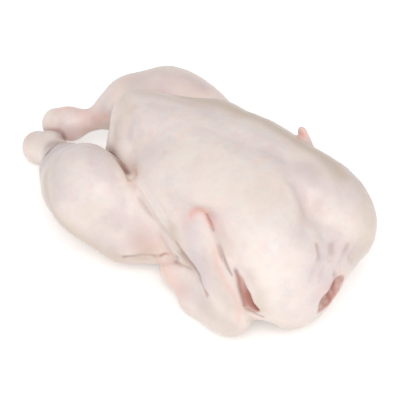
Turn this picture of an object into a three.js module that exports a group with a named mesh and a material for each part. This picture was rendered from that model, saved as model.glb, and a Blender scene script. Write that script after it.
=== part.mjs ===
// A whole raw chicken lying on its back, breast up, legs crossed behind, wings folded at its sides.
// Millimetres. +X runs from the crossed legs to the neck, +Z is up, Y runs across the bird.
// The bird is one solid: rounded muscles are melted together into one smooth skin.
import * as THREE from 'three';
import { MarchingCubes } from 'three/addons/objects/MarchingCubes.js';
import { mergeVertices } from 'three/addons/utils/BufferGeometryUtils.js';

// Driving dimensions. The muscles are laid out at the first drawing's size, then the whole bird is
// brought to its length from ankles to breast.
const birdLength = 300;
const trunkLength = 208;
const trunkWidth = 108;
const trunkHeight = 100;
const breastHeight = 120;
const thighRadius = 35;
const shankRadius = 7.5;
const ankleRadius = 14;
const upperArmRadius = 22;
const forearmRadius = 14.5;
const handRadius = 14;
const wingTipRadius = 7.5;
const tailRadius = 11;

// How deep the soft back is pressed flat by the bird's own weight.
const restingPress = 5;

// How far two neighbouring muscles melt into each other.
const softSeam = 25;
const muscleSeam = 14;
const foldSeam = 7;
const loosestThighSeam = 10;

// Size of the cells the skin is traced with, and how often its facets are evened out.
const cell = 7;
const eveningRounds = 10;
const longestStep = 2;
const traceReach = 190;

const skinColour = 0xe9d6cc;

const point = (x, y, z) => new THREE.Vector3(x, y, z);

// Smooth union and smooth cut of two distances.
function melt(a, b, seam) {
  const h = Math.max(seam - Math.abs(a - b), 0) / seam;
  return Math.min(a, b) - h * h * seam * 0.25;
}

function carve(a, hollow, seam) {
  return -melt(-a, hollow, seam);
}

// An egg-shaped muscle with three half-lengths, its length turned by a heading, dipped by a pitch and rolled.
function muscle(centre, halfLengths, heading = 0, pitch = 0, roll = 0) {
  const turn = new THREE.Matrix4().makeRotationX(THREE.MathUtils.degToRad(roll));
  turn.premultiply(new THREE.Matrix4().makeRotationY(THREE.MathUtils.degToRad(pitch)));
  turn.premultiply(new THREE.Matrix4().makeRotationZ(THREE.MathUtils.degToRad(heading)));
  const back = turn.clone().transpose();
  const local = new THREE.Vector3();
  const squared = halfLengths.clone().multiply(halfLengths);
  return (place) => {
    local.copy(place).sub(centre).applyMatrix4(back);
    const reach = point(local.x / halfLengths.x, local.y / halfLengths.y, local.z / halfLengths.z).length();
    const slope = point(local.x / squared.x, local.y / squared.y, local.z / squared.z).length();
    return reach * (reach - 1) / Math.max(slope, 1e-9);
  };
}

// A round limb running between two joints, with its own radius at each.
function limb(from, to, fromRadius, toRadius) {
  const axis = to.clone().sub(from);
  const lengthSquared = axis.lengthSq();
  const taper = fromRadius - toRadius;
  const flank = lengthSquared - taper * taper;
  const step = new THREE.Vector3();
  return (place) => {
    step.copy(place).sub(from);
    const along = step.dot(axis);
    const beyond = along - lengthSquared;
    const across = step.multiplyScalar(lengthSquared).addScaledVector(axis, -along).lengthSq();
    const alongSquared = along * along * lengthSquared;
    const beyondSquared = beyond * beyond * lengthSquared;
    const turning = Math.sign(taper) * taper * taper * across;
    if (Math.sign(beyond) * flank * beyondSquared > turning) {
      return Math.sqrt(across + beyondSquared) / lengthSquared - toRadius;
    }
    if (Math.sign(along) * flank * alongSquared < turning) {
      return Math.sqrt(across + alongSquared) / lengthSquared - fromRadius;
    }
    return (Math.sqrt(across * flank / lengthSquared) + along * taper) / lengthSquared - fromRadius;
  };
}

// A limb squeezed sideways by its thinness, so that it lies flat on the flank.
function flatLimb(from, to, fromRadius, toRadius, thinness) {
  const squeeze = point(1, thinness, 1);
  const round = limb(from.clone().multiply(squeeze), to.clone().multiply(squeeze), fromRadius, toRadius);
  const squeezed = new THREE.Vector3();
  return (place) => round(squeezed.copy(place).multiply(squeeze)) / thinness;
}

// Melts a list of shapes into the first one, each with its own seam.
function meltAll(first, others) {
  return (place) => others.reduce(
    (distance, [shape, seam]) => melt(distance, shape(place), seam),
    first(place),
  );
}

function trunk() {
  const ribSize = point(trunkLength / 2, trunkWidth / 2, trunkHeight / 2);
  const ribs = muscle(point(-2, 0, trunkHeight / 2 - restingPress), ribSize);
  const belly = muscle(point(-68, 0, 56), point(52, 46, 42));
  const keel = limb(point(46, -2, breastHeight - 18), point(-103, 2, 92), 18, 15);
  const thighSkin = limb(point(-90, 17, 84), point(-44, 32, 93), 15, 17.5);
  const tail = limb(point(-95, 0, 26), point(-124, 0, 18), 22, tailRadius);
  const neckSkin = muscle(point(95, -20, 40), point(24, 32, 36), 0, 12);
  const neckFront = muscle(point(97, 2, 59), point(19.5, 24, 29));
  const shoulderSkin = [-1, 1].map((side) => muscle(point(18, side * 52, 62), point(38, 19, 27), 0, 30));
  return meltAll(ribs, [
    [belly, softSeam],
    [muscle(point(26, -27, 75), point(90, 41, 45), 2, 2), muscleSeam],
    [muscle(point(22, 28, 74), point(90, 38, 43), -3, 4.5), muscleSeam],
    [muscle(point(70, -43, 57), point(36, 28, 41), 0, 10), muscleSeam - 2],
    [muscle(point(85, 28, 71), point(33.5, 32, 35), 0, 10), muscleSeam],
    [muscle(point(62, 34, 80), point(38, 29, 31)), muscleSeam - 2],
    [keel, softSeam + 5],
    [thighSkin, muscleSeam + 2],
    [tail, softSeam],
    [neckSkin, muscleSeam - 5],
    [neckFront, muscleSeam - 2],
    [shoulderSkin[0], muscleSeam - 4],
    [shoulderSkin[1], muscleSeam - 4],
  ]);
}

// The vent above the tail and the opening where the neck was taken off, both shallow.
function ventHollow() {
  return muscle(point(-128, 0, 50), point(16, 13, 9), 0, 30);
}

function neckHollow() {
  return muscle(point(119.5, -13.5, 46), point(7, 15, 8.5), 0, 0, 42);
}

// A leg from hip to ankle knob through its joints, each bone melted into the one before it.
function leg(joints, radii, seams) {
  const bones = radii.slice(1).map(
    (radius, index) => limb(joints[index], joints[index + 1], radii[index], radius),
  );
  return meltAll(bones[0], bones.slice(1).map((bone, index) => [bone, seams[index]]));
}

// The left thigh is flattened where it leans on the belly.
function leftLeg() {
  const knee = point(-79, -65, 60);
  const joints = [
    point(-30, -42, 42),
    point(-55, -54, 44),
    knee,
    point(-105, -60, 51),
    point(-138, -46, 37),
    point(-163, -32, 29),
    point(-184, -25, 24),
    point(-199, -25, 15),
  ];
  const radii = [thighRadius - 3, thighRadius, thighRadius - 0.5, 27.3, 20, 12.3, 13.5, ankleRadius + 0.3];
  const whole = leg(joints, radii, [12, 18, 20, 12, 8, 8]);
  const inward = point(0.21, 0.82, 0.53);
  const reach = knee.dot(inward) + 31;
  return (place) => -melt(-whole(place), reach - place.dot(inward), 12);
}

function rightLeg() {
  const joints = [
    point(-48, 46, 43),
    point(-84, 52, 56),
    point(-114, 50, 59),
    point(-142, 36, 57),
    point(-158, 25, 47.5),
    point(-173, 15, 36.5),
    point(-189, 5, 29),
    point(-202, 1, 24.5),
  ];
  const thigh = [thighRadius - 1, thighRadius - 3, thighRadius - 1.5];
  const radii = [...thigh, 22.5, 12.5, shankRadius, 13, ankleRadius - 0.5];
  return leg(joints, radii, [18, 18, 14, 10, 8, 8]);
}

// A wing folded flat: upper arm back to the elbow, forearm forward to the wrist,
// hand turned up the breast's side.
function wing(side, fingers, tip, tipRadius) {
  const onSide = ([x, y, z]) => point(x, side * y, z);
  const shoulder = onSide([60, 46, 48]);
  const elbow = onSide([0, 56, 24]);
  const forearm = onSide([28, 61, 16]);
  const wrist = onSide([56.5, 63, 20.5]);
  const palm = onSide([65, 66, 34]);
  const knuckle = onSide([56, 67, 54]);
  const arm = meltAll(limb(shoulder, elbow, upperArmRadius, forearmRadius - 0.5), [
    [limb(elbow, forearm, forearmRadius - 3, forearmRadius), 8],
    [limb(forearm, wrist, forearmRadius, forearmRadius - 1), 8],
  ]);
  const hand = meltAll(flatLimb(wrist, palm, handRadius, handRadius + 0.5, 1.6), [
    [flatLimb(palm, knuckle, handRadius + 0.5, handRadius, 1.9), 8],
    [flatLimb(knuckle, onSide(fingers), handRadius, handRadius - 3, 2.1), 8],
    [flatLimb(onSide(fingers), onSide(tip), handRadius - 3, tipRadius, 1.8), 8],
  ]);
  return (place) => {
    const wristSeam = 5 + 16 * Math.exp(-(((place.z - 20) / 22) ** 2));
    return melt(arm(place), hand(place), wristSeam);
  };
}

// Skin drawn from the left wing's tip back over its upper arm, flush with the hand.
function wingWeb() {
  const middle = point(33, -65, 76);
  const upper = flatLimb(point(24, -61, 92), middle, 9, 11, 2);
  return meltAll(upper, [[flatLimb(middle, point(43, -67, 60), 11, 9, 2), 6]]);
}

// The whole bird as one distance: negative inside, zero on the skin. It is cut flat where it lies.
function birdShape() {
  const body = trunk();
  const hollows = [ventHollow(), neckHollow()];
  const legs = [leftLeg(), rightLeg()];
  const leftHand = wing(-1, [43, 66, 76], [33, 62, 100], wingTipRadius);
  const leftWing = meltAll(leftHand, [[wingWeb(), 6]]);
  const rightWing = wing(1, [40, 60, 70], [26, 58, 108], wingTipRadius - 3);
  return (place) => {
    const looseness = Math.exp(-(((place.x + 28) / 24) ** 2));
    const thighSeam = foldSeam + loosestThighSeam * looseness;
    let distance = body(place);
    distance = hollows.reduce((sum, hollow) => carve(sum, hollow(place), 5), distance);
    distance = legs.reduce((sum, shape) => melt(sum, shape(place), thighSeam), distance);
    const elbowSkin = Math.exp(-(((place.x + 2) / 14) ** 2) - ((place.z - 62) / 16) ** 2);
    distance = melt(distance, leftWing(place), foldSeam + 9 * elbowSkin);
    distance = melt(distance, rightWing(place), foldSeam);
    return carve(distance, place.z, 3);
  };
}

// The trace works in a cube of cells, so the bird's middle is put at the cube's middle.
function traceSkin(shape, middle, reach) {
  const cells = Math.ceil(2 * reach / cell);
  const tracer = new MarchingCubes(cells, new THREE.MeshBasicMaterial(), false, false, 40000);
  const place = new THREE.Vector3();
  const toPlace = (index) => (index - tracer.halfsize) * cell;
  for (let k = 0; k < cells; k += 1) {
    for (let j = 0; j < cells; j += 1) {
      for (let i = 0; i < cells; i += 1) {
        place.set(toPlace(i), toPlace(j), toPlace(k)).add(middle);
        tracer.field[i + cells * (j + cells * k)] = -shape(place);
      }
    }
  }
  tracer.isolation = 0;
  tracer.update();
  const corners = Array.from(tracer.positionArray.slice(0, tracer.count * 3));
  const traced = new THREE.BufferGeometry();
  traced.setAttribute('position', new THREE.Float32BufferAttribute(corners, 3));
  const scale = tracer.halfsize * cell;
  traced.scale(scale, scale, scale);
  traced.translate(middle.x, middle.y, middle.z);
  return mergeVertices(traced, 0.02);
}

// Moves a point straight along the slope of the shape until it lies on the skin.
function settle(shape, place) {
  const nudge = 0.05;
  const slope = new THREE.Vector3();
  for (let round = 0; round < 4; round += 1) {
    const distance = shape(place);
    slope.x = shape(place.clone().setX(place.x + nudge)) - distance;
    slope.y = shape(place.clone().setY(place.y + nudge)) - distance;
    slope.z = shape(place.clone().setZ(place.z + nudge)) - distance;
    slope.divideScalar(nudge);
    const steepness = Math.max(slope.lengthSq(), 0.1);
    const travel = THREE.MathUtils.clamp(distance / steepness, -longestStep, longestStep);
    place.addScaledVector(slope, -travel);
  }
  return place;
}

function neighbourSets(geometry) {
  const neighbours = Array.from({ length: geometry.attributes.position.count }, () => new Set());
  const index = geometry.index.array;
  for (let t = 0; t < index.length; t += 3) {
    for (let c = 0; c < 3; c += 1) {
      const here = index[t + c];
      const next = index[t + (c + 1) % 3];
      neighbours[here].add(next);
      neighbours[next].add(here);
    }
  }
  return neighbours;
}

// Each round pulls every corner towards the middle of its neighbours, then back onto the skin.
function evenFacets(geometry, shape) {
  const neighbours = neighbourSets(geometry);
  const position = geometry.attributes.position;
  let places = neighbours.map((_, index) => new THREE.Vector3().fromBufferAttribute(position, index));
  for (let round = 0; round < eveningRounds; round += 1) {
    places = places.map((place, index) => {
      const middle = new THREE.Vector3();
      neighbours[index].forEach((other) => middle.add(places[other]));
      middle.divideScalar(neighbours[index].size);
      return settle(shape, middle.lerp(place, 0.4));
    });
  }
  places.forEach((place, index) => {
    const height = Math.abs(place.z) < 0.05 ? 0 : place.z;
    position.setXYZ(index, place.x, place.y, height);
  });
  return geometry;
}

// Brings the bird to its length and puts the middle of its base rectangle at the origin.
function centreOnBase(geometry) {
  geometry.computeBoundingBox();
  const scale = birdLength / geometry.boundingBox.getSize(new THREE.Vector3()).x;
  geometry.scale(scale, scale, scale);
  geometry.computeBoundingBox();
  const middle = geometry.boundingBox.getCenter(new THREE.Vector3());
  geometry.translate(-middle.x, -middle.y, -geometry.boundingBox.min.z);
  return geometry;
}

function chickenGeometry() {
  const shape = birdShape();
  const middle = point(-46, 0, 60);
  const skin = traceSkin(shape, middle, traceReach);
  skin.deleteAttribute('normal');
  const evened = evenFacets(skin, shape);
  centreOnBase(evened);
  evened.computeVertexNormals();
  return evened;
}

const skinMaterial = new THREE.MeshStandardMaterial({ color: skinColour, roughness: 0.45, metalness: 0 });

const chicken = new THREE.Mesh(chickenGeometry(), skinMaterial);
chicken.name = 'chicken';

const group = new THREE.Group();
group.name = 'whole_raw_chicken';
group.add(chicken);

export default group;
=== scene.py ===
import math
import bpy
import numpy as np
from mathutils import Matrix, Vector


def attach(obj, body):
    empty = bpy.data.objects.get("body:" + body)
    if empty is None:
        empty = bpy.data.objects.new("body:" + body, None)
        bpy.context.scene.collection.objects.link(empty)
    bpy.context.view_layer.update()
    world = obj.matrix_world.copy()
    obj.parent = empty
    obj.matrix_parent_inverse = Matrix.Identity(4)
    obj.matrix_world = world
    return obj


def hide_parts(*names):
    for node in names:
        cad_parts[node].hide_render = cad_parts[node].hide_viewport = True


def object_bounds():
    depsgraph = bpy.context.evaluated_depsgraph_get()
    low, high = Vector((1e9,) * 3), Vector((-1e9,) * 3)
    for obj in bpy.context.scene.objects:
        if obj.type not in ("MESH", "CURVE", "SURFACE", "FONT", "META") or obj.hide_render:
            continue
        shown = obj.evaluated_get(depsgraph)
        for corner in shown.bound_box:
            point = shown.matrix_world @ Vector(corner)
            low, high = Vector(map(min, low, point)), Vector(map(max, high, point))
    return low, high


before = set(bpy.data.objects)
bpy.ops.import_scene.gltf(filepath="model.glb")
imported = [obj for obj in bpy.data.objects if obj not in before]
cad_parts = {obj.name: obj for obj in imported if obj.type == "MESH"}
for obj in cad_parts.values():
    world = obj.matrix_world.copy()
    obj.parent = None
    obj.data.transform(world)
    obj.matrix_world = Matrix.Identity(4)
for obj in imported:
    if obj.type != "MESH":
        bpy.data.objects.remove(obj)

cadLow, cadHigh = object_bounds()

# Drawing sizes are in mm, in the drawing that the CAD part was laid out in: +X to the neck, -Y to the
# bird's left, +Z up, breast up. The finished skin is brought to the CAD box at the end of its making.
bird = {
    "cell": 1.7,             # spacing of the traced skin, mm
    "traceLow": (-220, -112, -8),
    "traceHigh": (132, 96, 134),
    "seed": 11,
}


def melt(a, b, seam):
    h = np.maximum(seam - np.abs(a - b), 0) / seam
    return np.minimum(a, b) - h * h * seam * 0.25


def carve(a, hollow, seam):
    return -melt(-a, hollow, seam)


def turned(heading, pitch, roll=0):
    h, p, r = np.radians([heading, pitch, roll])
    aboutZ = np.array([[np.cos(h), -np.sin(h), 0], [np.sin(h), np.cos(h), 0], [0, 0, 1]])
    aboutY = np.array([[np.cos(p), 0, np.sin(p)], [0, 1, 0], [-np.sin(p), 0, np.cos(p)]])
    aboutX = np.array([[1, 0, 0], [0, np.cos(r), -np.sin(r)], [0, np.sin(r), np.cos(r)]])
    return aboutZ @ aboutY @ aboutX


def muscle(places, centre, halfLengths, heading=0, pitch=0, roll=0):
    local = (places - np.array(centre)) @ turned(heading, pitch, roll)
    half = np.array(halfLengths, float)
    reach = np.linalg.norm(local / half, axis=1)
    slope = np.linalg.norm(local / (half * half), axis=1)
    return reach * (reach - 1) / np.maximum(slope, 1e-9)


def limb(places, start, end, startRadius, endRadius):
    start, end = np.array(start, float), np.array(end, float)
    axis = end - start
    lengthSquared = axis @ axis
    taper = startRadius - endRadius
    flank = lengthSquared - taper * taper
    step = places - start
    along = step @ axis
    beyond = along - lengthSquared
    across = ((step * lengthSquared - np.outer(along, axis)) ** 2).sum(1)
    alongSquared = along * along * lengthSquared
    beyondSquared = beyond * beyond * lengthSquared
    turning = np.sign(taper) * taper * taper * across
    atEnd = np.sqrt(across + beyondSquared) / lengthSquared - endRadius
    atStart = np.sqrt(across + alongSquared) / lengthSquared - startRadius
    atSide = (np.sqrt(across * flank / lengthSquared) + along * taper) / lengthSquared - startRadius
    nearEnd = np.sign(beyond) * flank * beyondSquared > turning
    nearStart = np.sign(along) * flank * alongSquared < turning
    return np.where(nearEnd, atEnd, np.where(nearStart, atStart, atSide))


def chain(places, joints, radii, seams):
    shape = None
    for i, seam in enumerate(seams):
        bone = limb(places, joints[i], joints[i + 1], radii[i], radii[i + 1])
        shape = bone if shape is None else melt(shape, bone, seam)
    return shape


random = np.random.default_rng(bird["seed"])
lattice = random.uniform(-1, 1, (32, 32, 32))


def unevenness(places, spacing, shift=0):
    # Smooth random heights on a lattice with the given spacing in mm.
    scaled = places / spacing + shift
    base = np.floor(scaled).astype(int)
    part = scaled - base
    part = part * part * (3 - 2 * part)
    out = np.zeros(len(places))
    for c in np.ndindex(2, 2, 2):
        corner = (base + c) % 32
        weight = np.prod(np.where(np.array(c) == 1, part, 1 - part), axis=1)
        out += weight * lattice[tuple(corner.T)]
    return out


def flatLimb(places, start, end, startRadius, endRadius, thinness):
    # A limb squeezed sideways, so that it lies flat on the flank.
    squeeze = np.array([1, thinness, 1])
    return limb(places * squeeze, start * squeeze, end * squeeze, startRadius, endRadius) / thinness


def neckOpening(places):
    # The torn hollow where the neck was.
    return muscle(places, (119.5, -13.5, 46), (7, 15, 8.5), 0, 0, 42) + 1.6 * unevenness(places, 5, 3)


def trunk(places):
    shape = muscle(places, (-2, 0, 45), (104, 54, 50))                              # rib cage and back
    shape = melt(shape, muscle(places, (-68, 0, 56), (52, 46, 42)), 25)             # belly
    shape = melt(shape, muscle(places, (26, -27, 75), (90, 41, 45), 2, 2), 14)      # left breast
    shape = melt(shape, muscle(places, (22, 28, 74), (90, 38, 43), -3, 4.5), 14)    # right breast
    shape = melt(shape, muscle(places, (70, -43, 57), (36, 28, 41), 0, 10), 12)     # left shoulder
    shape = melt(shape, muscle(places, (85, 28, 71), (33.5, 32, 35), 0, 10), 14)    # right shoulder
    shape = melt(shape, muscle(places, (62, 34, 80), (38, 29, 31)), 12)             # end of the right breast
    shape = melt(shape, limb(places, (46, -2, 102), (-103, 2, 92), 18, 15), 30)     # keel
    shape = melt(shape, limb(places, (-90, 17, 84), (-44, 32, 93), 15, 17.5), 16)   # skin on the right thigh
    shape = melt(shape, limb(places, (-95, 0, 26), (-124, 0, 18), 22, 11), 25)      # tail
    shape = melt(shape, muscle(places, (95, -20, 40), (24, 32, 36), 0, 12), 9)      # neck skin
    shape = melt(shape, muscle(places, (97, 2, 59), (19.5, 24, 29)), 12)            # root of the neck
    for side in (-1, 1):    # flesh between the breast and the upper arm
        shape = melt(shape, muscle(places, (18, side * 52, 62), (38, 19, 27), 0, 30), 10)
    shape = carve(shape, muscle(places, (-128, 0, 50), (16, 13, 9), 0, 30), 6)      # vent
    return carve(shape, neckOpening(places), 2)


def leftLeg(places):
    # Hip, thigh, knee and shank down to the ankle knob.
    joints = [(-30, -42, 42), (-55, -54, 44), (-79, -65, 60), (-105, -60, 51),
              (-138, -46, 37), (-163, -32, 29), (-184, -25, 24), (-199, -25, 15)]
    shape = chain(places, joints, (32, 35, 34.5, 27.3, 20, 12.3, 12.4, 14.2), (12, 12, 18, 20, 12, 8, 8))
    # The thigh's inner side is pressed flat by the belly.
    inner = (places - np.array([-79, -65, 60])) @ np.array([0.21, 0.82, 0.53]) - 31
    return -melt(-shape, -inner, 12)


def rightLeg(places):
    joints = [(-48, 46, 43), (-84, 52, 56), (-114, 50, 59), (-142, 36, 57),
              (-158, 25, 47.5), (-173, 15, 36.5), (-189, 5, 29), (-202, 1, 24.5)]
    return chain(places, joints, (34, 32, 33.5, 22.5, 12.5, 7.5, 13, 13.5), (18, 18, 18, 14, 10, 8, 8))


def wing(places, side, fingers, tipEnd, tipRadius):
    # Upper arm back to the elbow, forearm forward to the wrist, hand turned up the breast's side.
    joints = ((60, 46, 48), (0, 56, 24), (28, 61, 16), (56.5, 63, 20.5), (65, 66, 34), (56, 67, 54))
    shoulder, elbow, forearm, wrist, palm, knuckle, fingers, tipEnd = [
        np.array([x, side * y, z]) for x, y, z in (*joints, fingers, tipEnd)]
    shape = limb(places, shoulder, elbow, 22, 14)
    shape = melt(shape, limb(places, elbow, forearm, 11.5, 14.5), 8)
    shape = melt(shape, limb(places, forearm, wrist, 14.5, 13.5), 8)
    hand = flatLimb(places, wrist, palm, 14, 14.5, 1.6)
    hand = melt(hand, flatLimb(places, palm, knuckle, 14.5, 14, 1.9), 8)
    hand = melt(hand, flatLimb(places, knuckle, fingers, 14, 11, 2.1), 8)
    hand = melt(hand, flatLimb(places, fingers, tipEnd, 11, tipRadius, 1.8), 8)
    return melt(shape, hand, 5 + 16 * np.exp(-((places[:, 2] - 20) / 22) ** 2))


def wingGap(places):
    # The slit between the folded wing and the breast, open down to the red meat under it.
    slit = limb(places, (76, -69, 73), (81, -69, 62), 0.6, 2.2)
    slit = melt(slit, limb(places, (81, -69, 62), (87, -67, 46), 2.2, 2.0), 2)
    return melt(slit, limb(places, (83, -66, 60), (88, -63, 48), 1.8, 2.2), 3)


def wingWeb(places):
    # Skin drawn from the wing tip back over the upper arm, flush with the hand.
    web = flatLimb(places, np.array([24, -61, 92]), np.array([33, -65, 76]), 9, 11, 2)
    return melt(web, flatLimb(places, np.array([33, -65, 76]), np.array([43, -67, 60]), 11, 9, 2), 6)


def bodyShape(places):
    # The seams soften where loose skin bridges the flank, the wing tip and the crook of the elbow.
    thighSeam = 3 + 14 * np.exp(-((places[:, 0] + 28) / 24) ** 2)
    shape = trunk(places)
    shape = melt(shape, leftLeg(places), thighSeam)
    shape = melt(shape, rightLeg(places), thighSeam)
    wingSeam = (2.5 + 6 * np.exp(-((places[:, 2] - 100) / 16) ** 2)
                + 9 * np.exp(-((places[:, 0] + 2) / 14) ** 2 - ((places[:, 2] - 62) / 16) ** 2))
    leftWing = melt(wing(places, -1, (43, 66, 76), (33, 62, 100), 7.5), wingWeb(places), 6)
    shape = melt(shape, leftWing, wingSeam)
    shape = melt(shape, wing(places, 1, (40, 60, 70), (26, 58, 108), 4.5), 3)
    return carve(shape, wingGap(places), 4)


# Folds and seams pressed into the skin, each along a line in the drawing, with its width and depth in mm.
# A negative depth stands proud.
folds = {
    "breastGroove": {
        "line": [(50, 0, 122), (66, 2, 114), (75, 1, 104), (82, -4, 100),
                 (92, -18, 101), (100, -32, 92)],
        "width": 7, "depth": 2.4,
    },
    "stretchedSkin": {
        "line": [(-50, -57, 92), (-38, -60, 91), (-22, -64, 85), (-6, -68, 80), (6, -71, 76)],
        "width": 3, "depth": -2,
    },
    "flankHollow": {
        "line": [(-14, -66, 74), (-4, -69, 72), (8, -70, 70), (18, -71, 68)],
        "width": 4, "depth": 1.1,
    },
    "flankFold": {
        "line": [(9, -70, 69), (19, -71, 66), (28, -70, 59), (38, -73, 56), (42, -74, 52)],
        "width": 1.7, "depth": 3.4,
    },
    "elbowCrook": {
        "line": [(-10, -66, 37), (-4, -64, 38), (5, -67, 44), (13, -69, 54)],
        "width": 1.8, "depth": 2.4,
    },
    "elbowCreaseLow": {
        "line": [(-8, -66, 31), (4, -63, 38), (16, -66, 44), (26, -69, 50)],
        "width": 1.6, "depth": 2,
    },
    "thighHem": {
        "line": [(-40, -83, 38), (-27, -82, 38), (-12, -75, 40), (-4, -68, 42)],
        "width": 2, "depth": -1.5,
    },
    "underHem": {"line": [(-36, -80, 33), (-24, -79, 33), (-10, -73, 35)], "width": 2.5, "depth": 3},
    "wingTipCrease": {
        "line": [(36, -62, 107), (41, -63, 103), (45, -64, 98), (52, -66, 90),
                 (60, -68, 80), (68, -69, 73)],
        "width": 1.3, "depth": 1.5,
    },
    "lobePleats": {
        "line": [(108, -48, 62), (111, -46, 50), (110, -44, 40)],
        "width": 1.8, "depth": 0.5,
    },
    "neckFoldLeft": {
        "line": [(104, -16, 94), (109, -20, 87), (111, -27, 79), (113, -34, 70)],
        "width": 2.6, "depth": 3.2,
    },
    "neckFoldMiddle": {
        "line": [(108, -3, 86), (111, -7, 80), (113, -12, 74)],
        "width": 3, "depth": 2.4,
    },
    "neckFoldRight": {
        "line": [(113, 8, 80), (116, 4, 75), (117, -3, 68), (117, -12, 62)],
        "width": 2, "depth": 2.8,
    },
    "neckPleatLeft": {
        "line": [(109, -13, 86), (113, -19, 77), (114, -26, 66)],
        "width": 3, "depth": 1.8,
    },
    "neckPleatFar": {"line": [(117, 12, 74), (118, 6, 66)], "width": 1.8, "depth": 1.4},
    "neckNotch": {"line": [(112, 22, 78), (117, 14, 70), (120, 8, 62)], "width": 3.5, "depth": 2},
    "flankLineUpper": {
        "line": [(-40, -57, 93), (-22, -60, 91), (-4, -65, 87), (10, -69, 80)],
        "width": 1.6, "depth": 0.7,
    },
    "flankLineLower": {
        "line": [(-36, -66, 84), (-20, -69, 76), (-8, -71, 68), (2, -71, 60)],
        "width": 1.8, "depth": 0.8,
    },
    "kneeCrease": {
        "line": [(-128, -52, 70), (-124, -62, 64), (-122, -72, 54)],
        "width": 2.5, "depth": 0.8,
    },
    "shankFold": {
        "line": [(-150, -57, 55), (-154, -49, 55), (-158, -40, 51), (-163, -30, 43)],
        "width": 2.2, "depth": 1.8,
    },
    "crevice": {
        "line": [(-100, -38, 90), (-90, -42, 90), (-80, -46, 88), (-70, -48, 85),
                 (-58, -51, 85), (-47, -55, 87)],
        "width": 2.8, "depth": 11,
    },
    "rearRim": {"line": [(-96, -14, 103), (-98, -22, 94), (-92, -30, 88)], "width": 5, "depth": -1.2},
    "rearFurrow": {
        "line": [(-86, -16, 103), (-86, -24, 98), (-80, -32, 94), (-70, -36, 92)],
        "width": 4, "depth": 1,
    },
    "keelTendon": {
        "line": [(-98, 2, 107), (-72, 12, 112), (-30, 16, 121), (8, 17, 123), (44, 22, 121)],
        "width": 4, "depth": -0.7,
    },
    "keelFurrow": {
        "line": [(-92, -6, 104), (-60, 2, 112), (-16, 2, 121), (26, 8, 124), (60, 14, 118)],
        "width": 5, "depth": 0.8,
    },
    "sideTendon": {
        "line": [(-88, -16, 100), (-50, -14, 108), (0, -12, 121), (40, -14, 126)],
        "width": 6, "depth": -0.6,
    },
    "forearmCrease": {
        "line": [(38, -72, 50), (44, -75, 46), (50, -77, 41)],
        "width": 1.8, "depth": 1.8,
    },
    "gapSeam": {"line": [(80, -67, 46), (86, -65, 42), (92, -61, 37)], "width": 1.6, "depth": 2.4},
}
# The larger folds of the left side show on the right side too.
for name in ("flankFold", "elbowCrook", "thighHem", "forearmCrease"):
    folds[name + "Right"] = dict(folds[name], line=[(x, -y, z) for x, y, z in folds[name]["line"]])


def curveThrough(line, parts=4):
    # A smooth curve through the points of a line (Catmull-Rom), each stretch in the given number of parts.
    p = np.array(line, float)
    p = np.concatenate([[2 * p[0] - p[1]], p, [2 * p[-1] - p[-2]]])
    t = (np.arange(parts) / parts)[:, None]
    pieces = [0.5 * (2 * p[i] + (p[i + 1] - p[i - 1]) * t
                     + (2 * p[i - 1] - 5 * p[i] + 4 * p[i + 1] - p[i + 2]) * t ** 2
                     + (3 * p[i] - p[i - 1] - 3 * p[i + 1] + p[i + 2]) * t ** 3)
              for i in range(1, len(p) - 2)]
    return np.concatenate(pieces + [p[-2:-1]])


def nearLine(places, line, width, fading=True):
    # 1 on the line, 0 a few widths away; folds fade at both ends, stains end round.
    close = ((places > line.min(0) - 2.6 * width) & (places < line.max(0) + 2.6 * width)).all(1)
    here = places[close]
    lengths = np.linalg.norm(np.diff(line, axis=0), axis=1)
    total, travelled = lengths.sum(), 0
    away, where = np.full(len(here), np.inf), np.zeros(len(here))
    for start, end, length in zip(line[:-1], line[1:], lengths):
        axis = (end - start) / length
        share = np.clip((here - start) @ axis, 0, length)
        gap = np.linalg.norm(here - start - share[:, None] * axis, axis=1)
        nearer = gap < away
        away[nearer], where[nearer] = gap[nearer], (travelled + share[nearer]) / total
        travelled += length
    fade = np.clip(np.minimum(where, 1 - where) / 0.2, 0, 1) if fading else 1
    out = np.zeros(len(places))
    out[close] = np.exp(-(away / width) ** 2) * fade * (2 - fade)
    return out


def slopeOf(form, places, nudge=0.2):
    # How fast the field grows along each axis, and its value.
    base = form(places)
    return np.stack([(form(places + step) - base) / nudge for step in np.eye(3) * nudge], 1), base


def settle(form, places, rounds=3, longest=1.0):
    # Moves points onto the surface of a field.
    for _ in range(rounds):
        slope, value = slopeOf(form, places)
        travel = value / np.maximum((slope ** 2).sum(1), 0.1)
        places = places - slope * np.clip(travel, -longest, longest)[:, None]
    return places


foldLines = {name: settle(bodyShape, curveThrough(fold["line"]), 6, 4) for name, fold in folds.items()}


def birdShape(places):
    # The whole bird with its folds, uneven skin and flat underside.
    shape = bodyShape(places)
    for name, fold in folds.items():
        shape = shape + fold["depth"] * nearLine(places, foldLines[name], fold["width"])
    ragged = np.exp(-((places - [119, -6, 58]) ** 2).sum(1) / 26 ** 2)
    shape = shape + 0.9 * unevenness(places, 24) + (0.3 + ragged) * unevenness(places, 8, 9)
    return carve(shape, places[:, 2], 3)


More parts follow.
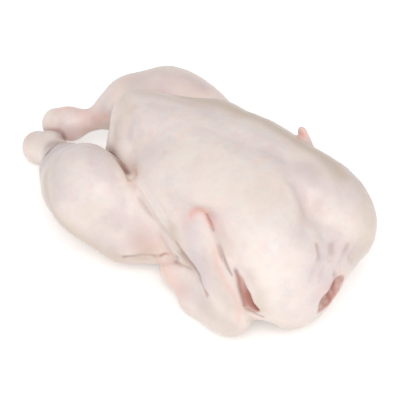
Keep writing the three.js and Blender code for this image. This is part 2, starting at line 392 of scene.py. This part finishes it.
def traceForm(form, low, high, cell):
    # A coarse pass finds the blocks of cells the surface runs through; only those are worked out finely.
    block = 4
    low = np.array(low, float)
    blocks = np.ceil((np.array(high, float) - low) / (cell * block)).astype(int)
    size = cell * block
    centres = [low[a] + (np.arange(blocks[a]) * block + (block - 1) / 2) * cell for a in range(3)]
    grid = np.stack(np.meshgrid(*centres, indexing="ij"), -1).reshape(-1, 3)
    coarse = form(grid)
    values = coarse.reshape(blocks)
    for a in range(3):
        values = np.repeat(values, block, axis=a)
    near = np.abs(coarse) < size * 1.5
    inner = np.stack(np.meshgrid(*[np.arange(block)] * 3, indexing="ij"), -1).reshape(-1, 3)
    cells = np.stack(np.unravel_index(np.flatnonzero(near), blocks), -1) * block
    cells = (cells[:, None, :] + inner[None]).reshape(-1, 3)
    values[tuple(cells.T)] = form(low + cells * cell)

    # One point in each cell that the surface crosses, in the middle of its crossings.
    inside = values < 0
    corners = np.array([(i, j, k) for i in (0, 1) for j in (0, 1) for k in (0, 1)])
    limits = np.array(values.shape) - 1
    count = sum(inside[c[0]:limits[0] + c[0], c[1]:limits[1] + c[1], c[2]:limits[2] + c[2]].astype(np.int8)
                for c in corners)
    mixed = np.argwhere((count > 0) & (count < 8))
    number = -np.ones(limits, int)
    number[tuple(mixed.T)] = np.arange(len(mixed))
    held = np.stack([values[tuple((mixed + c).T)] for c in corners], 1)
    total = np.zeros((len(mixed), 3))
    crossings = np.zeros(len(mixed))
    for a in range(8):
        for b in range(a + 1, 8):
            if np.abs(corners[a] - corners[b]).sum() != 1:
                continue
            crossed = (held[:, a] < 0) != (held[:, b] < 0)
            share = held[crossed, a] / (held[crossed, a] - held[crossed, b])
            total[crossed] += corners[a] + share[:, None] * (corners[b] - corners[a])
            crossings[crossed] += 1
    points = low + (mixed + total / crossings[:, None]) * cell

    # One face across each edge that the surface crosses.
    faces = []
    for axis in range(3):
        u, v = (axis + 1) % 3, (axis + 2) % 3
        step = np.eye(3, dtype=int)
        ahead = np.roll(inside, -1, axis=axis)
        edges = np.argwhere(inside != ahead)
        edges = edges[(edges > 0).all(1) & (edges < limits).all(1)]
        ring = [edges - step[u] - step[v], edges - step[v], edges, edges - step[u]]
        quads = np.stack([number[tuple(r.T)] for r in ring], 1)
        leaving = inside[tuple(edges.T)]
        quads[~leaving] = quads[~leaving][:, ::-1]
        faces.append(quads[(quads >= 0).all(1)])
    return points, np.concatenate(faces)


def relax(points, faces, rounds, share=0.5):
    # Evens out a mesh of four-sided faces: each point moves towards the middle of its neighbours.
    sides = np.concatenate([faces[:, [0, 1]], faces[:, [1, 2]], faces[:, [2, 3]], faces[:, [3, 0]]])
    start, end = sides.T
    count = len(points)
    degree = np.bincount(start, minlength=count) + np.bincount(end, minlength=count)
    for _ in range(rounds):
        pulled = np.zeros_like(points)
        for a in range(3):
            pulled[:, a] = (np.bincount(start, points[end, a], count)
                            + np.bincount(end, points[start, a], count))
        points = points + share * (pulled / degree[:, None] - points)
    return points


def linear(hexColour):
    # An sRGB colour as the linear values that shaders take.
    value = int(hexColour.lstrip("#"), 16)
    channels = [(value >> shift & 255) / 255 for shift in (16, 8, 0)]
    return tuple(c / 12.92 if c <= 0.04045 else ((c + 0.055) / 1.055) ** 2.4 for c in channels) + (1.0,)


def addNode(tree, kind, settings=None, links=None):
    node = tree.nodes.new(kind)
    for name, value in (settings or {}).items():
        if isinstance(name, int) or name in node.inputs:
            node.inputs[name].default_value = value
        else:
            setattr(node, name, value)
    for name, source in (links or {}).items():
        tree.links.new(source, node.inputs[name])
    return node


skinLook = {
    "base": "#e6dad5",       # pale pink skin over breast meat
    "cream": "#efe4d9",      # fat under the skin
    "paleAndPaintedLight": "#f4eae5",       # paler skin; its stains are painted highlights and painted light over shade
    "veilAndPaintedShade": "#cfc0c4",       # thin skin over dark meat, bluish; on the legs and the left wing its stains are painted shade
    "flush": "#e8a89c",      # blood under the skin
    "paintedShade": "#cdbcae",       # painted shade on undersides, rims and sides turned from the light
    "meat": "#b07a6e",       # bare meat
    "paintedFoldShade": "#80503e",     # painted shade in folds and crevices
    "mottling": [            # size in m, detail, where it starts and is full, strength, tone
        (0.035, 3, 0.42, 0.68, 0.8, "cream"),
        (0.022, 4, 0.5, 0.7, 0.5, "veilAndPaintedShade"),
        (0.009, 2, 0.45, 0.75, 0.14, "flush"),
        (0.004, 2, 0.5, 0.7, 0.16, "paleAndPaintedLight"),
    ],
    "roughness": 0.45,
    "depth": 0.3,            # share of the light that goes into the skin
    "bleed": (1.0, 0.45, 0.3),     # how far red, green and blue spread there
    "bleedSize": 0.006,      # m
    "refraction": 1.42,
    "moisture": 0.12,        # strength of the wet sheen
    "moistureRoughness": 0.25,
}


def poultrySkin(name, depth):
    # Raw chicken skin, plucked and chilled: milky and faintly see-through, with a dull moist sheen.
    # Its tones, painted shade and painted highlights among them, come from point attributes, and soft
    # mottling breaks up what would look like wax.
    material = bpy.data.materials.new(name)
    material.use_nodes = True
    tree = material.node_tree
    shader = tree.nodes["Principled BSDF"]
    place = addNode(tree, "ShaderNodeTexCoord").outputs["Object"]

    def mixed(factor, first, second):
        # Sockets 6 and 7 are the two colours, output 2 is the mixed one.
        node = addNode(tree, "ShaderNodeMix", {"data_type": "RGBA"})
        tree.links.new(factor, node.inputs[0])
        for socket, value in ((6, first), (7, second)):
            if isinstance(value, str):
                node.inputs[socket].default_value = linear(value)
            else:
                tree.links.new(value, node.inputs[socket])
        return node.outputs[2]

    def noise(size, detail, low, high):
        field = addNode(tree, "ShaderNodeTexNoise", {"Scale": 1 / size, "Detail": detail},
                        {"Vector": place})
        ramp = addNode(tree, "ShaderNodeMapRange", {1: low, 2: high}, {0: field.outputs["Fac"]})
        return ramp.outputs[0]

    def scaled(factor, amount):
        return addNode(tree, "ShaderNodeMath", {"operation": "MULTIPLY", 1: amount}, {0: factor}).outputs[0]

    def attribute(name):
        return addNode(tree, "ShaderNodeAttribute", {"attribute_name": name}).outputs["Fac"]

    colour = skinLook["base"]
    for size, detail, low, high, strength, tone in skinLook["mottling"]:
        colour = mixed(scaled(noise(size, detail, low, high), strength), colour, skinLook[tone])
    for name in ("cream", "paleAndPaintedLight", "paintedShade", "veilAndPaintedShade", "flush", "paintedFoldShade", "meat"):
        colour = mixed(attribute(name), colour, skinLook[name])
    tree.links.new(colour, shader.inputs["Base Color"])
    shader.inputs["Roughness"].default_value = skinLook["roughness"]
    shader.inputs["Subsurface Weight"].default_value = depth
    shader.inputs["Subsurface Radius"].default_value = skinLook["bleed"]
    shader.inputs["Subsurface Scale"].default_value = skinLook["bleedSize"]
    shader.inputs["IOR"].default_value = skinLook["refraction"]
    shader.inputs["Coat Weight"].default_value = skinLook["moisture"]
    shader.inputs["Coat Roughness"].default_value = skinLook["moistureRoughness"]
    return material


def meshObject(name, points, faces, material):
    mesh = bpy.data.meshes.new(name)
    mesh.from_pydata(points.tolist(), [], faces.tolist())
    mesh.polygons.foreach_set("use_smooth", np.ones(len(faces), dtype=bool))
    mesh.materials.append(material)
    made = bpy.data.objects.new(name, mesh)
    bpy.context.collection.objects.link(made)
    return made


def setAttribute(made, name, values):
    attribute = made.data.attributes.new(name, "FLOAT", "POINT")
    attribute.data.foreach_set("value", values.astype(np.float32))


# Where the skin changes tone, and where shade and highlights are painted on: lines in the drawing, each with
# a reach in mm and a strength.
stains = {
    "flush": [
        # neck
        ([(116, -26, 55), (119, -6, 59)], 4, 0.25),
        # left leg and the crevice beside it
        ([(-60, -52, 86), (-46, -57, 90)], 5, 0.15),
        # right leg
        ([(-178, 12, 38), (-156, 26, 52)], 12, 0.35),
        ([(-198, 2, 40), (-190, 6, 42)], 7, 0.35),
        ([(-164, 6, 47), (-150, 9, 56)], 7, 0.35),
        ([(-140, 36, 74), (-84, 58, 86)], 22, 0.14),
        # left wing and the slit beside it
        ([(20, -71, 90), (22, -66, 100), (30, -62, 108), (36, -62, 106)], 5, 0.2),
        ([(23, -66, 102), (28, -62, 107), (36, -62, 106)], 3.5, 0.6),
        ([(36, -62, 106), (42, -63, 101)], 3, 0.6),
        ([(42, -60, 102), (46, -59, 102)], 5, 0.15),
        ([(-10, -66, 38), (14, -66, 46)], 5, 0.18),
        ([(74, -70, 72), (80, -70, 60), (84, -67, 46)], 4, 0.5),
        ([(50, -69, 88), (60, -74, 72), (76, -72, 50), (77, -70, 34)], 2.5, 0.25),
        ([(-20, -76, 50), (-6, -70, 56)], 12, 0.15),
        ([(-2, -68, 28), (20, -72, 22)], 10, 0.3),
        # tip of the right wing
        ([(26, 57, 106), (26, 58, 116)], 6, 0.4),
    ],
    "veilAndPaintedShade": [
        # breast and belly
        ([(-88, 2, 108), (-57, 12, 114), (0, 20, 120), (30, 13, 121)], 10, 0.2),
        ([(30, 13, 121), (58, 4, 118), (74, 4, 106)], 7, 0.25),
        ([(60, 14, 117), (84, 20, 109), (96, 26, 105)], 9, 0.45),
        ([(84, 0, 108), (100, 14, 106)], 8, 0.6),
        ([(66, 0, 114), (76, -2, 104), (84, -10, 101), (96, -28, 97)], 6, 0.35),
        # neck
        ([(108, -18, 90), (116, 2, 74)], 15, 0.3),
        ([(112, -30, 76), (116, -16, 62)], 12, 0.5),
        # left leg and the crevice beside it
        # painted shade on the thigh's top, rims and lower edge and beside the shank
        ([(-130, -56, 66), (-98, -58, 84)], 18, 0.5),
        ([(-147, -62, 52), (-141, -52, 63), (-128, -46, 72)], 12, 1.0),
        ([(-40, -80, 68), (-24, -76, 56)], 14, 0.4),
        ([(-107, -76, 87), (-94, -71, 96), (-83, -66, 99)], 13, 0.35),
        ([(-168, -42, 42), (-150, -52, 55)], 10, 0.5),
        ([(-96, -88, 86), (-92, -97, 76)], 10, 0.4),
        ([(-110, -78, 50), (-100, -86, 56)], 14, 0.3),
        ([(-96, -74, 86), (-88, -86, 76)], 14, 0.2),
        ([(-50, -90, 50), (-36, -88, 46)], 12, 0.35),
        # right leg
        # painted shade on the top of the right drumstick, turned from the light
        ([(-135, 30, 86), (-110, 52, 97), (-87, 63, 92)], 10, 0.35),
        ([(-122, 30, 92), (-108, 38, 95)], 12, 0.4),
        ([(-130, 44, 66), (-90, 60, 78)], 10, 0.4),
        # left wing and the slit beside it
        # painted shade over the wing
        ([(24, -71, 92), (34, -74, 72), (44, -75, 56)], 13, 0.55),
        ([(24, -72, 31), (46, -76, 34)], 12, 0.35),
        ([(42, -74, 84), (58, -80, 50)], 5, 0.4),
        ([(56, -76, 14), (70, -72, 18)], 12, 0.2),
        # tip of the right wing
        ([(26, 57, 104), (26, 58, 116)], 9, 0.2),
    ],
    # Painted shade along folds, crevices and the slit beside the left wing.
    "paintedFoldShade": [
        # neck
        ([(106, -18, 91), (110, -22, 84)], 2.6, 0.3),
        ([(108, -4, 83), (110, -6, 79)], 3, 0.3),
        ([(114, 8, 79), (115, 5, 76)], 2.4, 0.25),
        ([(119, -10, 55), (119, -8, 56)], 2, 0.5),
        # left leg and the crevice beside it
        ([(-103, -35, 75), (-91, -38, 77), (-81, -43, 80), (-70, -46, 80), (-62, -49, 80)], 4, 1.0),
        ([(-152, -55, 54), (-156, -46, 53), (-161, -34, 46)], 3.2, 0.6),
        ([(-168, -34, 43), (-158, -34, 47), (-148, -38, 56)], 7, 0.3),
        ([(-176, -16, 34), (-172, -20, 38)], 4, 0.4),
        ([(-34, -80, 33), (-10, -73, 35)], 2.5, 0.4),
        # left wing and the slit beside it
        ([(-4, -68, 72), (7, -70, 70)], 2.4, 0.15),
        ([(14, -71, 69), (19, -71, 67), (28, -70, 59), (38, -73, 55)], 1.8, 0.6),
        ([(20, -70, 63), (28, -70, 58), (35, -72, 56)], 3.6, 0.4),
        ([(-8, -66, 37), (5, -67, 44), (14, -69, 56)], 1.4, 0.6),
        ([(4, -63, 38), (26, -69, 50)], 2, 0.4),
        ([(39, -73, 56), (44, -74, 48), (50, -76, 45)], 2.2, 0.5),
        ([(36, -62, 107), (41, -63, 103), (45, -64, 98)], 1.2, 0.6),
        ([(58, -67, 84), (62, -68, 77), (68, -69, 72)], 1.1, 0.6),
        ([(71, -68, 77), (74, -68, 72), (76, -69, 65), (79, -69, 57), (81, -68, 48)], 2, 0.7),
        ([(81, -67, 45), (86, -65, 42), (91, -62, 38)], 1.6, 0.6),
    ],
    # Painted shade: darker skin on rims, undersides and sides turned from the light.
    "paintedShade": [
        # breast and belly
        ([(-94, -12, 105), (-98, -24, 94), (-94, -32, 82)], 7, 0.5),
        ([(-74, 30, 106), (-33, 36, 114), (19, 41, 115), (56, 44, 112), (81, 38, 110)], 10, 1.0),
        ([(-110, 6, 104), (-73, 18, 111), (-50, 26, 113)], 8, 0.6),
        ([(-109, -6, 105), (-100, -12, 104)], 8, 0.5),
        ([(92, -65, 66), (93, -65, 50)], 7, 0.5),
        ([(60, -20, 119), (58, -34, 116)], 14, 0.35),
        ([(40, 46, 108), (100, 40, 96)], 12, 0.6),
        ([(63, 23, 116), (83, 40, 109)], 12, 0.35),
        ([(112, 34, 84), (118, 16, 66)], 12, 0.6),
        ([(110, 34, 96), (116, 30, 84)], 12, 0.5),
        # left leg and the crevice beside it
        ([(-100, -92, 60), (-70, -99, 44), (-40, -88, 30)], 16, 0.7),
        ([(-124, -72, 66), (-104, -84, 70)], 14, 0.5),
        ([(-21, -76, 52), (-17, -73, 44), (-20, -75, 34)], 11, 0.85),
        ([(-160, -34, 46), (-150, -54, 53), (-136, -66, 60)], 11, 0.9),
        ([(-118, -88, 70), (-100, -98, 62), (-88, -103, 54), (-76, -104, 50)], 9, 0.8),
        ([(-170, -38, 41), (-158, -42, 50)], 7, 0.9),
        ([(-206, -30, 24), (-190, -30, 34)], 12, 0.35),
        ([(-60, -92, 70), (-44, -86, 60)], 12, 0.3),
        # right leg
        ([(-134, 36, 80), (-96, 58, 84)], 16, 0.5),
        # left wing and the slit beside it
        ([(8, -70, 79), (21, -71, 62), (28, -71, 54)], 8, 0.8),
        ([(50, -78, 32), (60, -79, 30), (74, -76, 27)], 10, 0.5),
        ([(84, -67, 78), (88, -67, 72)], 6, 0.4),
        ([(50, -75, 76), (72, -74, 46)], 9, 0.5),
        ([(-20, -72, 44), (-6, -68, 52)], 10, 0.4),
    ],
    # Painted highlight on the left breast, and painted light over the shade on the belly's side and above
    # the left wing tip.
    "paleAndPaintedLight": [
        # breast and belly
        ([(78, -50, 101), (84, -51, 98), (96, -56, 80)], 18, 0.35),
        ([(100, -58, 62), (104, -51, 45)], 16, 0.12),
        ([(-104, -28, 80), (-92, -33, 84), (-80, -38, 88)], 9, 1.0),
        # right leg
        ([(-184, 0, 38), (-176, 3, 40)], 6, 0.5),
        # left wing and the slit beside it
        ([(20, -58, 110), (28, -60, 109)], 6, 0.5),
        # tip of the right wing
        ([(26, 57, 106), (26, 58, 116)], 6, 0.5),
    ],
    "cream": [
        # breast and belly
        ([(-100, -12, 102), (-98, -26, 88)], 7, 0.2),
        ([(94, -8, 101), (106, -20, 93)], 5, 0.6),
        ([(0, -36, 116), (40, -36, 118)], 18, 0.4),
        ([(-30, 34, 114), (50, 42, 108)], 8, 0.6),
        ([(1, -31, 119), (22, -25, 122)], 14, 0.4),
        ([(90, -58, 40), (100, -50, 30)], 14, 0.4),
        # left leg and the crevice beside it
        ([(-208, -26, 22), (-196, -28, 26)], 12, 0.3),
        ([(-92, -50, 92), (-56, -55, 86)], 5, 0.5),
        ([(-100, -84, 40), (-56, -88, 26)], 14, 0.5),
        # right leg
        ([(-204, 0, 30), (-196, -4, 34)], 8, 0.5),
        # left wing and the slit beside it
        ([(56, -76, 14), (72, -72, 16)], 10, 0.2),
    ],
}


toneLook = {
    "foldReach": 3.5,        # mm off the skin, where a tight fold is felt
    "valleyReach": 11,       # mm, the same for a broad valley
    "foldShade": 1.3,        # how dark the painted shade in tight folds goes
    "foldStart": 0.4,        # how tight a fold has to be
    "valleyFlush": 0.15,
    "paintedUnderShade": 0.5,        # painted shade where the skin faces down
    "settledReach": 4,       # mm: thinner stains are laid exactly on the skin
}


def skinTones(places):
    # How strong each tone is at each point of the skin, from its stains, its hollows and the way it faces;
    # hollows and down-facing skin get painted shade.
    normals = slopeOf(birdShape, places)[0]
    normals /= np.linalg.norm(normals, axis=1)[:, None]

    def hollow(reach):
        return np.clip(1 - birdShape(places + normals * reach) / reach, 0, 1)

    close, wide = hollow(toneLook["foldReach"]), hollow(toneLook["valleyReach"])
    # The painted fold shade is weaker where the crossed ankles meet, and left off the free tip of the right
    # wing.
    onBody = np.clip((places[:, 0] + 176) / 20, 0.4, 1)
    rightTip = np.array([(26, 57, 104), (26, 58, 116)], float)
    onBody *= 1 - nearLine(places, rightTip, 12, False)
    tones = {}
    for name, lines in stains.items():
        tone = np.zeros(len(places))
        for line, reach, strength in lines:
            path = np.array(line, float)
            if reach < toneLook["settledReach"]:
                path = settle(birdShape, curveThrough(line), 4, 2)
            tone = np.maximum(tone, strength * nearLine(places, path, reach, False))
        tones[name] = tone
    # Painted shade in tight folds, found from how shut in the skin is.
    foldShadeAmount = (close * toneLook["foldShade"] - toneLook["foldStart"]) * onBody
    # Painted shade where the skin faces down.
    facingDown = np.clip(-normals[:, 2] + 0.1, 0, 1)
    tones["flush"] = np.clip(tones["flush"] + wide * toneLook["valleyFlush"], 0, 1)
    tones["paintedFoldShade"] = np.clip(np.maximum(tones["paintedFoldShade"], foldShadeAmount), 0, 1)
    tones["paintedShade"] = np.clip(tones["paintedShade"] + toneLook["paintedUnderShade"] * facingDown, 0, 1)
    torn = (0.68 + 0.45 * unevenness(places, 3, 6)) * np.clip(1.4 - 0.5 * neckOpening(places), 0, 1)
    tones["meat"] = np.clip(np.maximum(1.1 - 0.5 * wingGap(places), torn), 0, 1)
    # No follicles in folds, on meat or on the ankle knobs.
    bare = np.maximum(tones["paintedFoldShade"], tones["meat"])
    shankEnds = np.clip((places[:, 0] + 165) / -15, 0, 1)
    tones["pores"] = np.clip(1 - bare * 2 - shankEnds, 0, 1)
    return tones


skinMaterial = poultrySkin("rawPoultrySkin", skinLook["depth"])
points, faces = traceForm(birdShape, bird["traceLow"], bird["traceHigh"], bird["cell"])
print("traced", len(points), "points", len(faces), "quads")
for _ in range(2):
    points = settle(birdShape, relax(points, faces, 2))
tones = skinTones(points)

# The drawing is scaled evenly to fit the CAD box, centred, and set down on the base.
cadSize = np.array(cadHigh) - np.array(cadLow)
drawnLow, drawnHigh = points.min(0), points.max(0)
scale = (cadSize / (drawnHigh - drawnLow)).min()
middle = (drawnLow + drawnHigh) / 2
placed = (points - [middle[0], middle[1], drawnLow[2]]) * scale
print("scale", scale * 1000, "middle", middle, drawnLow[2])
skin = meshObject("chickenSkin", placed, faces, skinMaterial)
for name, values in tones.items():
    setAttribute(skin, name, values)

pimpleLook = {
    "spacing": 0.0036,       # m between follicles
    "radius": 0.0009,        # m
    "flatness": 0.13,        # height as a share of the radius
    "topShare": 0.3,         # radius of the blunt top as a share of the whole
    "smallest": 0.6,         # sizes as shares of the radius
    "largest": 1.2,
    "sides": 9,
    "densest": 90000.0,      # most follicles for each square metre
    "seed": 4,
}


def pimpleTree():
    # A low blunt cone on each follicle, standing on the skin.
    tree = bpy.data.node_groups.new("goosePimples", "GeometryNodeTree")
    sockets = {}
    for name, kind in (("Geometry", "NodeSocketGeometry"), ("Spacing", "NodeSocketFloat"),
                       ("Radius", "NodeSocketFloat"), ("Flatness", "NodeSocketFloat"),
                       ("Seed", "NodeSocketInt"), ("Material", "NodeSocketMaterial")):
        sockets[name] = tree.interface.new_socket(name, in_out="INPUT", socket_type=kind).identifier
    tree.interface.new_socket("Geometry", in_out="OUTPUT", socket_type="NodeSocketGeometry")
    given = addNode(tree, "NodeGroupInput").outputs
    pores = addNode(tree, "GeometryNodeInputNamedAttribute", {"data_type": "FLOAT", "Name": "pores"})
    spread = addNode(tree, "GeometryNodeDistributePointsOnFaces",
                     {"distribute_method": "POISSON", "Density Max": pimpleLook["densest"]},
                     {"Mesh": given["Geometry"], "Distance Min": given["Spacing"], "Seed": given["Seed"],
                      "Density Factor": pores.outputs[0]})
    top = addNode(tree, "ShaderNodeMath", {"operation": "MULTIPLY", 1: pimpleLook["topShare"]},
                  {0: given["Radius"]})
    cone = addNode(tree, "GeometryNodeMeshCone", {"Vertices": pimpleLook["sides"]},
                   {"Radius Bottom": given["Radius"], "Radius Top": top.outputs[0],
                    "Depth": given["Radius"]})
    size = addNode(tree, "FunctionNodeRandomValue",
                   {"data_type": "FLOAT", 2: pimpleLook["smallest"], 3: pimpleLook["largest"]},
                   {"Seed": given["Seed"]})
    height = addNode(tree, "ShaderNodeMath", {"operation": "MULTIPLY"},
                     {0: size.outputs[1], 1: given["Flatness"]})
    stretch = addNode(tree, "ShaderNodeCombineXYZ", {},
                      {0: size.outputs[1], 1: size.outputs[1], 2: height.outputs[0]})
    cones = addNode(tree, "GeometryNodeInstanceOnPoints", {},
                    {"Points": spread.outputs["Points"], "Instance": cone.outputs["Mesh"],
                     "Rotation": spread.outputs["Rotation"], "Scale": stretch.outputs[0]})
    real = addNode(tree, "GeometryNodeRealizeInstances", {}, {0: cones.outputs[0]})
    coated = addNode(tree, "GeometryNodeSetMaterial", {},
                     {"Geometry": real.outputs[0], "Material": given["Material"]})
    addNode(tree, "NodeGroupOutput", {}, {"Geometry": coated.outputs[0]})
    return tree, sockets


def goosePimples():
    # Scattered over a copy of the skin, then kept as a plain mesh.
    tree, sockets = pimpleTree()
    carrier = bpy.data.objects.new("pimpleCarrier", skin.data)
    bpy.context.collection.objects.link(carrier)
    modifier = carrier.modifiers.new("follicles", "NODES")
    modifier.node_group = tree
    for name in ("Spacing", "Radius", "Flatness", "Seed"):
        modifier[sockets[name]] = pimpleLook[name.lower()]
    modifier[sockets["Material"]] = poultrySkin("follicleSkin", 0)
    seen = carrier.evaluated_get(bpy.context.evaluated_depsgraph_get())
    mesh = bpy.data.meshes.new_from_object(seen)
    bpy.data.objects.remove(carrier)
    pimples = bpy.data.objects.new("goosePimples", mesh)
    bpy.context.collection.objects.link(pimples)
    print("pimples", len(mesh.polygons), "faces")
    return pimples


pimples = goosePimples()
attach(pimples, "root")
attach(skin, "root")
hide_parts("chicken")
print("skin made")


stage = {
    "floorHalf": 3.0,        # m
    "floorGlow": 0.17,       # lifts the floor to white
    "aim": (-18.7, -11.1, 54.7),   # what the camera looks at, mm in the drawing
    "azimuth": 43.4,         # degrees round from the bird's left side towards its neck
    "elevation": 41.7,
    "distance": 1150,        # mm in the drawing
    "lens": 130.4,           # mm
    "keyAzimuth": 43,
    "keyElevation": 50,
    "keyDistance": 3.0,      # m
    "keySize": 1.6,          # m across
    "keyWatts": 38,
    "keyAimHeight": 0.05,    # m
    "roomGlow": 0.68,
}


def towards(azimuth, elevation):
    a, e = math.radians(azimuth), math.radians(elevation)
    return Vector((math.sin(a) * math.cos(e), -math.cos(a) * math.cos(e), math.sin(e)))


def paleFloor():
    material = bpy.data.materials.new("paleFloor")
    material.use_nodes = True
    shader = material.node_tree.nodes["Principled BSDF"]
    shader.inputs["Base Color"].default_value = linear("#ffffff")
    shader.inputs["Roughness"].default_value = 0.9
    shader.inputs["Emission Strength"].default_value = stage["floorGlow"]
    half = stage["floorHalf"]
    corners = np.array([(-half, -half, 0), (half, -half, 0), (half, half, 0), (-half, half, 0)])
    floor = meshObject("floor", corners, np.array([[0, 1, 2, 3]]), material)


def keyLight():
    light = bpy.data.lights.new("keyLight", "AREA")
    light.shape = "DISK"
    light.size = stage["keySize"]
    light.energy = stage["keyWatts"]
    lamp = bpy.data.objects.new("keyLight", light)
    bpy.context.collection.objects.link(lamp)
    back = towards(stage["keyAzimuth"], stage["keyElevation"])
    lamp.location = back * stage["keyDistance"] + Vector((0, 0, stage["keyAimHeight"]))
    lamp.rotation_euler = back.to_track_quat("Z", "Y").to_euler()


def placeCamera():
    camera = bpy.data.cameras.new("camera")
    camera.lens = stage["lens"]
    camera.sensor_width = 36
    back = towards(stage["azimuth"], stage["elevation"])
    holder = bpy.data.objects.new("camera", camera)
    bpy.context.collection.objects.link(holder)
    aim = (np.array(stage["aim"]) - [middle[0], middle[1], drawnLow[2]]) * scale
    holder.location = Vector(aim) + back * stage["distance"] * scale
    holder.rotation_euler = back.to_track_quat("Z", "Y").to_euler()
    bpy.context.scene.camera = holder


def softRoom():
    world = bpy.data.worlds.new("softRoom")
    world.use_nodes = True
    background = world.node_tree.nodes["Background"]
    background.inputs["Color"].default_value = linear("#ffffff")
    background.inputs["Strength"].default_value = stage["roomGlow"]
    bpy.context.scene.world = world


paleFloor()
keyLight()
placeCamera()
softRoom()
print("stage set")
bpy.context.scene.view_settings.view_transform = "Standard"
